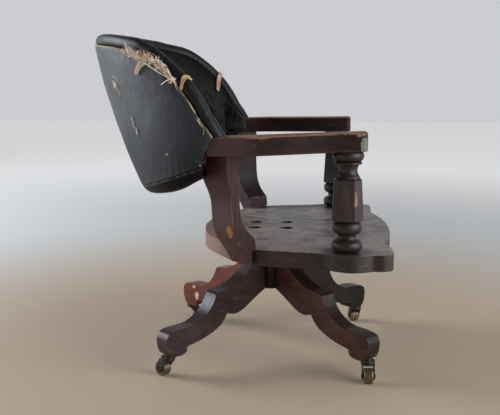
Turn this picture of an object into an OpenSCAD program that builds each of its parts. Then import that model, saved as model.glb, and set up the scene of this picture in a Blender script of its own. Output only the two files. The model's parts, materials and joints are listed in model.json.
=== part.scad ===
// Swivel office chair with a tub back: turned front posts, sawn rear brackets,
// four cabriole legs on casters, and a screw under the seat that sets its height.
// +Z is up, the chair faces -Y, +X is the sitter's left, and the origin is on the
// floor under the swivel axis. Millimetres.

/* [Seat] */
// Height of the seat board's top with the screw wound right down
seat_top = 283; // [276:1:300]
// Thickness of the seat board
seat_t = 31; // [26:1:34]
// Spacing of the four swivel-plate bolts
bolt_gap = 70; // [60:1:80]

/* [Arms] */
// Thickness of the arms
arm_t = 35.5; // [30:0.5:40]
// Height of the arms' underside over the front posts
arm_under = 474; // [460:1:490]
// How far the arms rise towards the front, in degrees
arm_rise = 1.25; // [0:0.05:1.5]

/* [Front posts] */
// Distance of each post from the centre line
post_x = 280; // [276:1:284]
// Position of the posts along Y
post_y = -153; // [-157:1:-149]

/* [Back] */
// Half the width of the tub back
half_w = 350; // [345:1:354]
// Y of the back's front edges, where the tub starts to curve
back_y = 108; // [108:1:110]
// Top of the back at the rear centre
back_top = 694; // [685:1:705]
// Bottom of the back at the rear centre
back_low = 366; // [360:1:372]
// Radius of the padded roll along the top edge
roll_r = 13; // [11:0.5:14]

/* [Base] */
// Thickness of the leg boards
leg_t = 35; // [30:1:38]
// Radius of the circle that the casters stand on
caster_r = 289; // [285:1:290]
// Underside of the feet
foot_z = 44; // [43.5:0.5:45]
// Radius of the caster wheels
wheel_r = 15.5; // [14:0.5:15.5]
// How far a caster's wheel trails behind its stem
trail = 15; // [12:0.5:16]

/* [Height screw] */
// Radius of the spindle
spindle_r = 12.5; // [10:0.5:14]
// Travel of the seat, from wound down to fully raised
lift = 36; // [12:6:36]

/* [Hidden] */
$fn = 48;
fit = 0.05;          // running clearance on radius
gap = 0.3;           // gap between neighbouring soft parts

wood = [0.24, 0.10, 0.07];
dark_wood = [0.15, 0.08, 0.07];
iron = [0.16, 0.15, 0.15];
brass = [0.45, 0.36, 0.20];
leathercloth = [0.10, 0.11, 0.13];
horsehair = [0.70, 0.56, 0.36];

// Mechanism heights, stacked upwards from the arch under the hub
hub_low = 147;
hub_high = 226;
bush_flange_t = 3;
nut_low = hub_high + bush_flange_t;
nut_high = nut_low + 10;
shoulder_high = nut_high + 3;
seat_low = seat_top - seat_t;
plate_t = 5;
hub_w = 68;          // the hub is a square block, its faces towards the legs
journal_r = 10;      // the spindle's neck, which the seat plate turns on
bolt_r = 4.2;
counterbore_r = 14;
counterbore_d = 15;
stem_r = 4;
axle_r = 2.5;
dowel_r = 5;

// Corners in order: front left, front right, rear left, rear right
leg_angle = [-45, -135, 45, 135];
// Which way each caster's wheel trails at rest
trail_angle = [10, 180, 285, 52];

// ---- curves ----

// Catmull-Rom curve through the points p, with n steps between neighbours
function blend(a, b, c, d, t) = 0.5 * (2 * b + (c - a) * t + (2 * a - 5 * b + 4 * c - d) * t * t
    + (3 * b - a - 3 * c + d) * t * t * t);
function curve(p, n = 6) = [for (i = [0 : len(p) - 2], k = [0 : n - 1])
    blend(p[max(i - 1, 0)], p[i], p[i + 1], p[min(i + 2, len(p) - 1)], k / n), p[len(p) - 1]];
function mirrored(p) = [for (i = [len(p) - 1 : -1 : 0]) [-p[i].x, p[i].y]];
function arc(c, r, a0, a1, n = 6) = [for (i = [0 : n]) let (a = a0 + (a1 - a0) * i / n)
    c + r * [cos(a), sin(a)]];

// Closed solid through equal rings of points, capped at both ends
module skin(rings) {
    n = len(rings);
    m = len(rings[0]);
    points = [for (r = rings, p = r) p];
    sides = [for (i = [0 : n - 2], j = [0 : m - 1]) let (k = (j + 1) % m)
        each [[i * m + j, i * m + k, (i + 1) * m + k], [i * m + j, (i + 1) * m + k, (i + 1) * m + j]]];
    caps = [[for (j = [m - 1 : -1 : 0]) j], [for (j = [0 : m - 1]) (n - 1) * m + j]];
    polyhedron(points, concat(sides, caps), convexity = 10);
}

// ---- base ----

module on_leg(i) rotate([0, 0, leg_angle[i]]) children();

module hub_block() color(dark_wood) difference() {
    rotate([0, 0, 45]) intersection() {
        translate([-hub_w / 2, -hub_w / 2, hub_low]) cube([hub_w, hub_w, hub_high - hub_low]);
        rotate([0, 0, 45]) translate([-hub_w * 0.62, -hub_w * 0.62, hub_low])
            cube([hub_w * 1.24, hub_w * 1.24, hub_high - hub_low]);
    }
    translate([0, 0, hub_low - 1]) cylinder(r = spindle_r + 4.5, h = hub_high - hub_low + 2);
    for (i = [0 : 3]) on_leg(i) dowel_bores();
    bush_screw_bores();
}

// Two dowels join each leg to the hub, across the joint face
module dowel_holes(r, half) {
    for (z = [178, 206])
        translate([hub_w / 2 - half, 0, z]) rotate([0, 90, 0]) cylinder(r = r, h = 2 * half);
}
module dowel_bores() dowel_holes(dowel_r + fit, 15);
module leg_dowels() color(wood) for (i = [0 : 3]) on_leg(i) dowel_holes(dowel_r, 14);

// Bush: an iron tube with a flange, which the spindle slides in
module hub_bush() color(iron) difference() {
    union() {
        translate([0, 0, hub_low + 2]) cylinder(r = spindle_r + 4, h = hub_high - hub_low - 2);
        translate([0, 0, hub_high]) cylinder(r = 32, h = bush_flange_t);
    }
    translate([0, 0, hub_low]) cylinder(r = spindle_r + fit, h = hub_high);
    bush_screw_bores();
}
module at_bush_screws() for (a = [0 : 90 : 270]) rotate([0, 0, a]) translate([25, 0, 0]) children();
module bush_screw_bores() at_bush_screws()
    translate([0, 0, hub_high - 19]) cylinder(r = 2.1, h = 30);
module hub_bush_screws() color(iron) at_bush_screws() {
    translate([0, 0, hub_high - 18]) cylinder(r = 2, h = 18 + bush_flange_t - 0.6);
}

// Side view of a leg, as distance from the axis and height: a scrolled underside with
// two cusps, a round toe, and a nose half way up the top edge
leg_side = concat(
    [[hub_w / 2, 146]],
    curve([[54, 136], [80, 121], [100, 110], [117, 105.5], [131, 106], [143, 110]]),
    curve([[145, 108], [151, 99], [162, 88], [178, 79], [199, 71], [224, 64.5], [249, 60.5]]),
    curve([[251, 59], [253, 51], [259, 46], [268, foot_z]], 4),
    [[287, foot_z]],
    curve([[296, 49], [302, 62], [304, 82], [298, 94]], 4),
    curve([[289, 98], [268, 100], [240, 101], [220, 106.5], [200, 118], [185, 134], [176, 150]]),
    [[174, 156]],
    curve([[168, 159.5], [135, 164], [106, 176], [87, 189], [70, 207], [60, hub_high]]),
    [[hub_w / 2, hub_high]]);

module leg(i) color(i < 2 ? dark_wood : wood) on_leg(i) difference() {
    translate([0, leg_t / 2, 0]) rotate([90, 0, 0]) linear_extrude(leg_t) polygon(leg_side);
    dowel_bores();
    translate([caster_r, 0, foot_z - 1]) cylinder(r = 7 + fit, h = 27);
}

// ---- casters ----

module on_caster(i) on_leg(i) translate([caster_r, 0, 0]) rotate([0, 0, trail_angle[i] - leg_angle[i]])
    children();

module caster_sockets() color(brass) for (i = [0 : 3]) on_leg(i) translate([caster_r, 0, 0])
    difference() {
        union() {
            translate([0, 0, foot_z - 2]) cylinder(r = 13, h = 2);
            translate([0, 0, foot_z - 2]) cylinder(r = 7, h = 25);
        }
        translate([0, 0, foot_z - 3]) cylinder(r = stem_r + fit, h = 28);
    }

fork_top = foot_z - 2.2;
wheel_w = 19;        // width of a wheel's barrel tread
cheek_in = 10.3;     // half the space between the fork's cheeks
crown_t = 7;         // depth of the crown over the wheel
cheek_t = 2.4;

// Side view of a fork cheek: an eye round the axle, swept up to the crown plate
module cheek_side() {
    translate([trail, wheel_r]) circle(r = 8);
    polygon(concat(
        curve([[trail + 7.8, wheel_r + 1.5], [trail + 7, 24], [16, 32], [13, fork_top - 3]], 4),
        curve([[-10, fork_top - 3], [-5, 31], [2, 23], [trail - 7.9, wheel_r - 1]], 4)));
}
module caster_fork(i) color(iron) on_caster(i) difference() {
    union() {
        translate([0, 0, fork_top - crown_t]) cylinder(r = 14.5, h = crown_t);
        translate([0, 0, fork_top - crown_t]) cylinder(r = stem_r, h = 21.5 + crown_t);
        for (side = [-1, 1]) translate([0, side * (cheek_in + cheek_t / 2) + cheek_t / 2, 0])
            rotate([90, 0, 0]) linear_extrude(cheek_t) cheek_side();
    }
    translate([trail, 20, wheel_r]) rotate([90, 0, 0]) cylinder(r = axle_r + fit, h = 40);
}
module caster_axle(i) color(iron) on_caster(i) translate([trail, 0, wheel_r]) rotate([90, 0, 0]) {
    translate([0, 0, -13.5]) cylinder(r = axle_r, h = 27);
    for (side = [-1, 1]) translate([0, 0, side * 13.6 - 0.7]) cylinder(r = 4, h = 1.4);
}
// Wheel with a barrel tread, rounded shoulders and a small boss on each face
tread_round = 3;
module caster_wheel(i) color(brass) on_caster(i) translate([trail, 0, wheel_r]) rotate([90, 0, 0])
    rotate_extrude() polygon(concat(
        [[axle_r + fit, -wheel_w / 2 - 0.6], [6, -wheel_w / 2 - 0.6], [7, -wheel_w / 2]],
        arc([wheel_r - tread_round, tread_round - wheel_w / 2], tread_round, -90, 0),
        arc([wheel_r - tread_round, wheel_w / 2 - tread_round], tread_round, 0, 90),
        [[7, wheel_w / 2], [6, wheel_w / 2 + 0.6], [axle_r + fit, wheel_w / 2 + 0.6]]));

// ---- height screw ----

// Hand nut: it stands on the bush's flange and carries the spindle
module height_nut() color(iron) difference() {
    union() {
        translate([0, 0, nut_low]) cylinder(r = 31, h = nut_high - nut_low);
        for (a = [0 : 60 : 300]) rotate([0, 0, a]) translate([31, 0, nut_low + 1])
            cylinder(r = 5, h = nut_high - nut_low - 2);
    }
    translate([0, 0, nut_low - 1]) cylinder(r = spindle_r + fit, h = nut_high - nut_low + 2);
}
// Spindle: its screwed part, a shoulder, and a neck for the seat plate
module spindle() color(iron) {
    translate([0, 0, hub_low + 2]) cylinder(r = spindle_r, h = shoulder_high - hub_low - 3);
    translate([0, 0, nut_high]) cylinder(r = 20, h = shoulder_high - nut_high);
    translate([0, 0, shoulder_high - 1]) cylinder(r = journal_r, h = seat_low + 14 - shoulder_high);
}
module spindle_washer() color(brass) difference() {
    translate([0, 0, seat_low + 0.1]) cylinder(r = 17, h = 1.9);
    translate([0, 0, seat_low - 1]) cylinder(r = journal_r + fit, h = 4);
}
module spindle_top_nut() color(iron) difference() {
    translate([0, 0, seat_low + 2]) cylinder(r = 16, h = 9, $fn = 6);
    translate([0, 0, seat_low + 1]) cylinder(r = journal_r + fit, h = 11);
}

// ---- seat ----

module at_plate_bolts() for (x = [-1, 1], y = [-1, 1])
    translate([x * bolt_gap / 2, y * bolt_gap / 2, 0]) children();

// Swivel plate: a boss that turns on the spindle's neck, and four bolt lugs
module seat_plate() color(iron) difference() {
    union() {
        translate([0, 0, shoulder_high]) cylinder(r = 22, h = seat_low - shoulder_high);
        translate([0, 0, seat_low - plate_t]) cylinder(r = 40, h = plate_t);
        for (a = [45 : 90 : 315]) rotate([0, 0, a]) translate([0, -14, seat_low - plate_t])
            cube([bolt_gap * 0.707, 28, plate_t]);
        at_plate_bolts() translate([0, 0, seat_low - plate_t]) cylinder(r = 14, h = plate_t);
    }
    translate([0, 0, shoulder_high - 1]) cylinder(r = journal_r + fit, h = 20);
    at_plate_bolts() translate([0, 0, seat_low - 10]) cylinder(r = bolt_r + fit, h = 20);
}
module seat_plate_bolts() color(iron) at_plate_bolts() {
    translate([0, 0, seat_low - plate_t - 4]) cylinder(r = 8, h = 4, $fn = 6);
    translate([0, 0, seat_low - plate_t - 4]) cylinder(r = bolt_r, h = seat_t - counterbore_d + plate_t + 9);
    translate([0, 0, seat_top - counterbore_d]) cylinder(r = 11, h = 1.6);
    translate([0, 0, seat_top - counterbore_d + 1.6]) cylinder(r = 7.5, h = 5, $fn = 6);
}

// Half of the seat's outline, from the rear centre round to the front centre
seat_half = concat(
    curve([[0, 146], [80, 138], [131, 123], [180, 98], [226, 72], [256, 50]]),
    curve([[268, 34], [278, -2], [289, -55], [300, -106], [318, -136], [327, -160], [321, -184],
        [312, -201], [312, -220], [306, -234]]),
    curve([[296, -240], [270, -242], [235, -240], [206, -237]], 4),
    curve([[202, -233], [196, -234], [150, -244], [80, -255], [0, -259]], 5));

module seat_board() color(dark_wood) difference() {
    translate([0, 0, seat_low]) linear_extrude(seat_t)
        polygon(concat(seat_half, [for (p = mirrored(seat_half)) if (abs(p.x) > 0.01) p]));
    at_plate_bolts() {
        translate([0, 0, seat_low - 1]) cylinder(r = bolt_r + fit, h = seat_t + 2);
        translate([0, 0, seat_top - counterbore_d]) cylinder(r = counterbore_r, h = counterbore_d + 1);
    }
    translate([0, 0, seat_low - 1]) cylinder(r = 21, h = 17);
    for (side = [-1, 1]) {
        translate([side * post_x, post_y, seat_top - 24]) cylinder(r = 12 + fit, h = 25);
        on_bracket(side) bracket_screw_bores();
    }
}

// ---- front posts ----

// Everything under the arms' sloping underside, raised by up
module under_arm(up = 0) translate([0, post_y, arm_under + up]) rotate([-arm_rise, 0, 0])
    translate([-500, -400, -400]) cube([1000, 1000, 400]);

post_h = arm_under - seat_top;
oct_low = 62;
oct_high = 142;
function bulge(z0, z1, r, depth, n = 8) = [for (i = [0 : n]) let (a = -90 + 180 * i / n)
    [r - depth + depth * cos(a), (z0 + z1) / 2 + (z1 - z0) / 2 * sin(a)]];

// Turned parts of a post, from the base ring to the ring under the arm
post_turning = concat(
    [[0, 0], [22, 0]], bulge(1, 25, 29.5, 10), [[18, 27], [17, 30], [18, 34]],
    bulge(36, 60, 28.5, 8), [[22, oct_low + 1], [0, oct_low + 1]]);
post_neck = concat(
    [[0, oct_high - 1], [23, oct_high - 1]],
    curve([[22, oct_high + 2], [18, oct_high + 9], [17.5, oct_high + 16], [20, 166]], 4),
    bulge(167, 172, 26, 3, 6), bulge(172.5, post_h + 3, 29.5, 9), [[0, post_h + 3]]);

module post(side) color(dark_wood) translate([side * post_x, post_y, 0]) {
    difference() {
        translate([0, 0, seat_top]) union() {
            rotate_extrude() polygon(post_turning);
            rotate([0, 0, 22.5]) translate([0, 0, oct_low])
                cylinder(r1 = 32, r2 = 27.5, h = oct_high - oct_low - 4, $fn = 8);
            rotate([0, 0, 22.5]) translate([0, 0, oct_high - 4])
                cylinder(r1 = 27.5, r2 = 22, h = 4, $fn = 8);
            rotate_extrude() polygon(post_neck);
        }
        translate([0, -post_y, 0]) difference() {
            translate([-100, -300, arm_under - 10]) cube([200, 300, 40]);
            under_arm();
        }
    }
    translate([0, 0, seat_top - 22]) cylinder(r = 12, h = 23);
    translate([0, 0, arm_under - 4]) cylinder(r = 11, h = 24);
}

// ---- rear brackets ----

// A bracket stands across the seat's rear corner, its outer edge facing out at 45 degrees
bracket_w = 60;
bracket_off = 152;   // distance of its middle plane from the diagonal through the axis
module on_bracket(side) mirror([side > 0 ? 0 : 1, 0, 0]) rotate([0, 0, 45])
    translate([0, -bracket_off, 0]) children();

bracket_edge = 218;  // the rebate that clasps the seat's edge
// Side view of a bracket, as distance out from the axis and height
bracket_side = concat(
    [[209, seat_top], [210, 300]],
    curve([[212, 307], [222, 316], [236, 330], [246, 352], [250, 385], [251, 430], [250, 482]], 5),
    curve([[284, 482], [280.5, 430], [275, 400], [271, 372], [269, 347], [264.5, 322], [256, 306],
        [245, 291], [233, 275], [221, seat_low + 2]], 5),
    [[bracket_edge, seat_low + 2], [bracket_edge, seat_top]]);

module bracket_screw_bores() for (t = [-12, 12])
    translate([190, t, seat_top - 16]) rotate([0, 90, 0]) cylinder(r = 2.5 + fit, h = 60);
module bracket(side) color(wood) difference() {
    on_bracket(side) difference() {
        translate([0, bracket_w / 2, 0]) rotate([90, 0, 0]) linear_extrude(bracket_w)
            polygon(bracket_side);
        bracket_screw_bores();
    }
    difference() {
        translate([-400, -50, arm_under - 30]) cube([800, 300, 60]);
        under_arm();
    }
    arm_screw_bores();
    translate([-400, back_y - gap, back_low + 62]) cube([800, 50, 100]);
}
module bracket_screws() color(iron) for (side = [-1, 1]) on_bracket(side) for (t = [-12, 12])
    translate([192, t, seat_top - 16]) rotate([0, 90, 0]) cylinder(r = 2.5, h = 38);

// ---- arms ----

arm_end = back_y;
arm_inner = curve([[292, arm_end], [300, 50], [291, 0], [270, -80], [255, -150], [251, -178]]);
arm_tip = concat(curve([[252, -182], [258, -187], [278, -189], [296, -187], [303, -181]], 4));
arm_outer = curve([[306, -172], [312, -125], [324, -80], [340, -30], [354, 20]]);
arm_facet = [[354, 26], [351, 40], [338, arm_end]];
arm_outline = concat(arm_inner, arm_tip, arm_outer, arm_facet);

module arm(side) color(dark_wood) mirror([side > 0 ? 0 : 1, 0, 0]) difference() {
    translate([0, post_y, arm_under]) rotate([-arm_rise, 0, 0]) translate([0, -post_y, 0])
        linear_extrude(arm_t) polygon(arm_outline);
    translate([post_x, post_y, arm_under - 5]) cylinder(r = 11 + fit, h = 26);
    translate([0, back_y, 0]) translate([-400, 0, 400]) cube([800, 50, 200]);
    arm_screw_bores();
}

// One long screw on each side goes down through the arm into the bracket
module at_arm_screws() for (side = [-1, 1]) on_bracket(side)
    translate([266, -14, arm_under - 40]) children();
module arm_screw_bores() at_arm_screws() cylinder(r = 3 + fit, h = 80);
module arm_screws() color(iron) at_arm_screws() {
    translate([0, 0, 1]) cylinder(r = 3, h = 56);
}

// ---- upholstered back ----

// The tub is half an ellipse in plan. Its depth grows with height, which rakes it back
function depth(z) = 217 + 0.382 * (z - 500) - 0.00061 * (z - 500) * (z - 500);
// A point on the tub at angle a from the rear, off inside its outer face, at height z
function tub(a, off, z) = [(half_w - off) * sin(a), back_y + (depth(z) - off) * cos(a), z];

// Height of the roll's centre: level at the rear, falling to the arms
roll_c = 14;         // how far inside the outer face the roll's centre lies
drop = 144;
drop_power = 5;
function roll_z(a) = back_top - roll_r - drop * pow(abs(a) / 90, drop_power);
function roll_slope(a) = drop * drop_power / 90 * pow(abs(a) / 90, drop_power - 1)
    / (PI / 180 * norm([half_w * cos(a), depth(roll_z(a)) * sin(a)]));
// Half the roll's height, measured upright through its slope
function roll_v(a) = roll_r * sqrt(1 + roll_slope(a) * roll_slope(a));
function low_z(a) = back_low + 64 * pow(abs(a) / 90, 1.6);
function seam_z(a) = roll_z(a) - 0.83 * roll_v(a);
function fold_r(a) = 16 + 7 * pow(abs(a) / 90, 2);   // rounding of the tub's lower edge

// A band of the tub from angle a0 to a1, between offsets in and out, heights from functions
module band(a0, a1, n, out, in, low, high, rows = 5)
    skin([for (i = [0 : n]) let (a = a0 + (a1 - a0) * i / n, z0 = low(a), z1 = high(a))
        concat([for (k = [0 : rows]) tub(a, in, z0 + (z1 - z0) * k / rows)],
            [for (k = [rows : -1 : 0]) tub(a, out, z0 + (z1 - z0) * k / rows)])]);

rail_h = 36;
function rail_top(a) = roll_z(a) - roll_v(a) - gap;
module back_lower_rail() color(wood) band(-83, 83, 30, 4, 24,
    function(a) low_z(a) + 25, function(a) low_z(a) + 25 + rail_h, 2);
module back_upper_rail() color(wood) band(-83, 83, 30, 4, 24,
    function(a) rail_top(a) - rail_h, function(a) rail_top(a), 2);
stile_in = 19;       // battens are thinner than the rails they join
module stile(a, half) band(a - half, a + half, 3, 4, stile_in,
    function(a) low_z(a) + 25 + rail_h + gap, function(a) rail_top(a) - rail_h - gap, 6);
module back_stiles() color(wood) for (a = [-50, 0, 50]) stile(a, 4);
module back_front_stiles() color(wood) for (side = [-1, 1])
    band(side * 86.4 - 3.3, side * 86.4 + 3.3, 3, 4, stile_in, function(a) low_z(a) + 25,
        function(a) rail_top(a) - 2, 6);
module back_hessian() color(horsehair) band(-89.5, 89.5, 36, 25, 26.2,
    function(a) low_z(a) + 24, function(a) rail_top(a), 4);

// Buttons lie in three staggered rows on the inner face
button_rows = [[430, 24, 0], [510, 24, 36], [590, 24, 48]];
pad_in = 60;
pocket_d = 16;
module at_buttons() for (row = button_rows, a = [-72 + row[2] : row[1] : 72 - row[2]]) {
    p = tub(a, pad_in, row[0]);
    translate(p) rotate([0, 0, -a]) rotate([90 + 16 * cos(a), 0, 0]) children();
}
// Padding section: it leans in to the roll at the top and is rounded off below
function pad_section(a) = let (z0 = low_z(a) + 3, z1 = roll_z(a) - 0.4 * roll_v(a)) concat(
    [for (p = curve([[34, z0], [52, z0 + 8], [pad_in, z0 + 30], [pad_in, (z0 + z1) / 2],
        [pad_in - 2, z1 - 30], [42, z1 - 4], [32, z1]], 3)) tub(a, p.x, p.y)],
    [for (k = [6 : -1 : 0]) tub(a, roll_c + roll_r + gap, z0 + (z1 - z0) * k / 6)]);
// The pad's front edges run on past the ends of the arms, against their inner faces
module pad_wing(side) translate([0, 0, arm_under + 1]) linear_extrude(arm_t + 8) polygon([
    for (p = [[60, 22], [49, 22], [49, 1], [59, 0.8], [58, -29], [63, -34], [72, -35], [79, -28], [80, -8], [74, 16]])
        [side * (half_w - p[0]), back_y + p[1]]]);
module inner_pad() color(leathercloth) difference() {
    union() {
        skin([for (i = [0 : 40]) pad_section(-89.5 + 179 * i / 40)]);
        for (side = [-1, 1]) pad_wing(side);
    }
    at_buttons() translate([0, 0, -pocket_d]) cylinder(r = 13, h = pocket_d + 8);
}
module back_buttons() color(leathercloth) at_buttons() {
    translate([0, 0, -pocket_d + 0.5]) cylinder(r = 8, h = 2.5);
    translate([0, 0, -pocket_d + 3]) cylinder(r1 = 8, r2 = 4.5, h = 2.5);
}

// Padded roll: it follows the rim and stands on the arms at both ends
module rim_roll() color(leathercloth) difference() {
    skin([for (i = [0 : 64]) let (a = -99 + 198 * i / 64)
        [for (t = [0 : 30 : 330]) tub(a, roll_c + roll_r * cos(t), roll_z(a) + roll_v(a) * sin(t))]]);
    translate([0, post_y, arm_under]) rotate([-arm_rise, 0, 0]) translate([-500, -300, -200])
        cube([1000, 300 + back_y - post_y, 200 + arm_t + gap]);
}

// Outside cover: its front edges lean forward over the ends of the arms
lean_most = 0.0145;
function lean(z) = 1 + lean_most * max(0, min(1, (z - arm_under - 2) / 27));
module outer_cover() color(leathercloth) skin([for (i = [0 : 44])
    let (a = -89.7 + 179.4 * i / 44, z0 = low_z(a) + fold_r(a), z1 = seam_z(a * (1 + lean_most)) - 1, rows = 8)
    concat([for (k = [0 : rows]) let (z = z0 + (z1 - z0) * k / rows) tub(a * lean(z), 2.5, z)],
        [for (k = [rows : -1 : 0]) let (z = z0 + (z1 - z0) * k / rows) tub(a * lean(z), 0, z)])]);

// Cloth under the tub: it rounds the lower edge and closes the bottom
function fold_point(a, b, t) = let (r = fold_r(a) - gap)
    tub(a, fold_r(a) - (r - t) * cos(b), low_z(a) + r - (r - t) * sin(b));
function fold_section(a) = let (t = 1.6) concat(
    [for (k = [0 : 5]) fold_point(a, 18 * k, 0)],
    [tub(a, 58, low_z(a)), tub(a, 58, low_z(a) + t)],
    [for (k = [5 : -1 : 0]) fold_point(a, 18 * k, t)]);
module bottom_cloth() color(leathercloth) skin([for (i = [0 : 36]) let (a = 90 - 180 * i / 36)
    fold_section(a)]);

// Domed tacks along the lower front edges of the outer cover
tack_r = 2.6;
module cover_tacks() color(brass) for (side = [-1, 1], k = [0 : 4]) {
    p = tub(side * (89 - 0.4 * k), -gap, low_z(90) + fold_r(90) + 6 + k * 11);
    translate(p) rotate([0, side * 90, 0]) intersection() {
        translate([0, 0, -1.5]) sphere(r = tack_r);
        cylinder(r = tack_r, h = tack_r);
    }
}

// Horsehair that shows where the seam under the roll has opened
module seam_stuffing() color(horsehair) for (side = [-1, 1], a = [[22, 60], [76, 85]])
    skin([for (i = [0 : 12]) let (b = side > 0 ? a[0] + (a[1] - a[0]) * i / 12 : -a[1] + (a[1] - a[0]) * i / 12)
        [for (t = [0 : 60 : 300]) tub(b, -3.5 + 2.4 * cos(t), seam_z(b) - 3 + 5 * sin(t))]]);

// ---- nodes ----

corner = ["front_left", "front_right", "rear_left", "rear_right"];
hub_block();
hub_bush();
hub_bush_screws();
for (i = [0 : 3]) {
    leg(i);
    caster_fork(i);
    caster_axle(i);
    caster_wheel(i);
}
leg_dowels();
caster_sockets();
height_nut();
spindle();
spindle_washer();
spindle_top_nut();
seat_plate();
seat_plate_bolts();
seat_board();
post(1);  // post_left
post(-1);  // post_right
bracket(1);  // bracket_left
bracket(-1);  // bracket_right
bracket_screws();
arm(1);  // arm_left
arm(-1);  // arm_right
arm_screws();
back_lower_rail();
back_upper_rail();
back_stiles();
back_front_stiles();
back_hessian();
inner_pad();
back_buttons();
rim_roll();
outer_cover();
bottom_cloth();
cover_tacks();
seam_stuffing();
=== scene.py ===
import json
import math
import random

import bmesh
import bpy
import numpy as np
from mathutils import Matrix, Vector, noise

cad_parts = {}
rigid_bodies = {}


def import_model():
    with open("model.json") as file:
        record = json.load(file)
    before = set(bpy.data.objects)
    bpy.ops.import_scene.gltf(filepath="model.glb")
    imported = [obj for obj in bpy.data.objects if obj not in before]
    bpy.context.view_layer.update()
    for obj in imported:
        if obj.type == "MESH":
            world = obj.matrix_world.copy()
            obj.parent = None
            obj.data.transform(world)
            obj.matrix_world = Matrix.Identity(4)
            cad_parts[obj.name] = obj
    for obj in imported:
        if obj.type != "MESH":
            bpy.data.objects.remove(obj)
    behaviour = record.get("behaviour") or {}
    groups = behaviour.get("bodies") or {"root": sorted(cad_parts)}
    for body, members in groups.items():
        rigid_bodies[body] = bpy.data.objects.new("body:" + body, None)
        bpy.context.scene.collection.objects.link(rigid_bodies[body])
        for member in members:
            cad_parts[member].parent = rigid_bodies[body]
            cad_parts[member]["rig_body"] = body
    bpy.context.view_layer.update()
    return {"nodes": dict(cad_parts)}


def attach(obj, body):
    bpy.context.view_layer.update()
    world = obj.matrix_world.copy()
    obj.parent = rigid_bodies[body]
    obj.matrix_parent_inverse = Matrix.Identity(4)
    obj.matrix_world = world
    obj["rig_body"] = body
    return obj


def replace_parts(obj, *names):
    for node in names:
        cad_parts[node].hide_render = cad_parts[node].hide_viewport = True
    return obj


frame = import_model()
NODES = frame["nodes"]


def place(name, data):
    ob = bpy.data.objects.new(name, data)
    bpy.context.scene.collection.objects.link(ob)
    return ob


# ---- camera
cam_data = bpy.data.cameras.new("camera")
cam = place("camera", cam_data)
SENSOR_MM, FOCAL_PX, FRAME_PX = 36, 841, 500        # the focal length is 841 pixels of a frame 500 wide
cam_data.sensor_width = SENSOR_MM
cam_data.lens = SENSOR_MM * FOCAL_PX / FRAME_PX
cam.location = (-1.850, -0.0625, 0.6183)
YAW, PITCH = math.radians(3.4), math.radians(9.1)
look = Vector((math.cos(YAW) * math.cos(PITCH), math.sin(YAW) * math.cos(PITCH), -math.sin(PITCH)))
cam.rotation_mode = "QUATERNION"
cam.rotation_quaternion = look.to_track_quat("-Z", "Y")
bpy.context.scene.camera = cam
bpy.context.scene.view_settings.view_transform = "Standard"


def times(colour, k, plus=0.0):
    """A colour made k times as bright, with the same amount added to each channel."""
    return tuple(c * k + plus for c in colour)


# ---- material nodes
class Nodes:
    """Short calls for a tree of procedural nodes."""

    def __init__(self, tree):
        self.tree = tree

    def node(self, kind, inputs=None, **props):
        n = self.tree.nodes.new("ShaderNode" + kind)
        for key, value in props.items():
            setattr(n, key, value)
        for key, value in (inputs or {}).items():
            self.put(n.inputs[key], value)
        return n

    def put(self, socket, value):
        if isinstance(value, bpy.types.NodeSocket):
            self.tree.links.new(value, socket)
        elif isinstance(value, tuple) and len(value) == 3 and socket.type == "RGBA":
            socket.default_value = (*value, 1)
        else:
            socket.default_value = value

    def co(self, scale=(1, 1, 1), turn=(0, 0, 0), move=(0, 0, 0)):
        c = self.node("TexCoord").outputs["Object"]
        m = self.node("Mapping", {"Vector": c, "Location": move, "Rotation": turn, "Scale": (1, 1, 1)})
        return self.node("Mapping", {"Vector": m.outputs[0], "Scale": scale}).outputs[0]

    def noise(self, co, scale, detail=4.0, rough=0.55, distort=0.0):
        return self.node("TexNoise", {"Vector": co, "Scale": scale, "Detail": detail, "Roughness": rough,
                                      "Distortion": distort}).outputs["Fac"]

    def math(self, op, a, b=0.5, clamp=False):
        n = self.node("Math", operation=op, use_clamp=clamp)
        self.put(n.inputs[0], a)
        if len(n.inputs) > 1:
            self.put(n.inputs[1], b)
        return n.outputs[0]

    def add(self, a, b):
        return self.math("ADD", a, b)

    def sub(self, a, b):
        return self.math("SUBTRACT", a, b)

    def mul(self, a, b, clamp=False):
        return self.math("MULTIPLY", a, b, clamp)

    def span(self, value, low, high, to0=0.0, to1=1.0):
        """value from low to high, eased onto to0 to to1."""
        ends = {"Value": value, "From Min": low, "From Max": high, "To Min": to0, "To Max": to1}
        return self.node("MapRange", ends, interpolation_type="SMOOTHSTEP").outputs[0]

    def vector(self, op, a, b):
        return self.node("VectorMath", {0: a, 1: b}, operation=op)

    def ramp(self, value, *stops):
        n = self.node("ValToRGB", {"Fac": value})
        e = n.color_ramp.elements
        while len(e) < len(stops):
            e.new(0.5)
        for k, (at, colour) in enumerate(stops):
            e[k].position = at
            e[k].color = (*colour, 1)
        return n.outputs["Color"]

    def mix(self, fac, a, b):
        n = self.node("Mix", data_type="RGBA", clamp_factor=True)
        self.put(n.inputs["Factor"], fac)
        self.put(n.inputs[6], a)
        self.put(n.inputs[7], b)
        return n.outputs[2]

    def attr(self, name):
        return self.node("Attribute", attribute_name=name).outputs["Fac"]

    def normal(self):
        return self.node("NewGeometry").outputs["Normal"]

    def up(self):
        return self.node("SeparateXYZ", {"Vector": self.normal()}).outputs["Z"]

    def bump(self, height, strength, distance, normal=None):
        n = self.node("Bump", {"Height": height, "Strength": strength, "Distance": distance})
        if normal is not None:
            self.put(n.inputs["Normal"], normal)
        return n.outputs[0]

    def spot(self, centre, size):
        """Distance from centre in units of size (three radii), in the row frame."""
        c = self.node("TexCoord").outputs["Object"]
        d = self.vector("SUBTRACT", c, tuple(centre)).outputs[0]
        q = self.vector("MULTIPLY", d, tuple(1 / s for s in size)).outputs[0]
        return self.node("VectorMath", {0: q}, operation="LENGTH").outputs["Value"]


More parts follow.
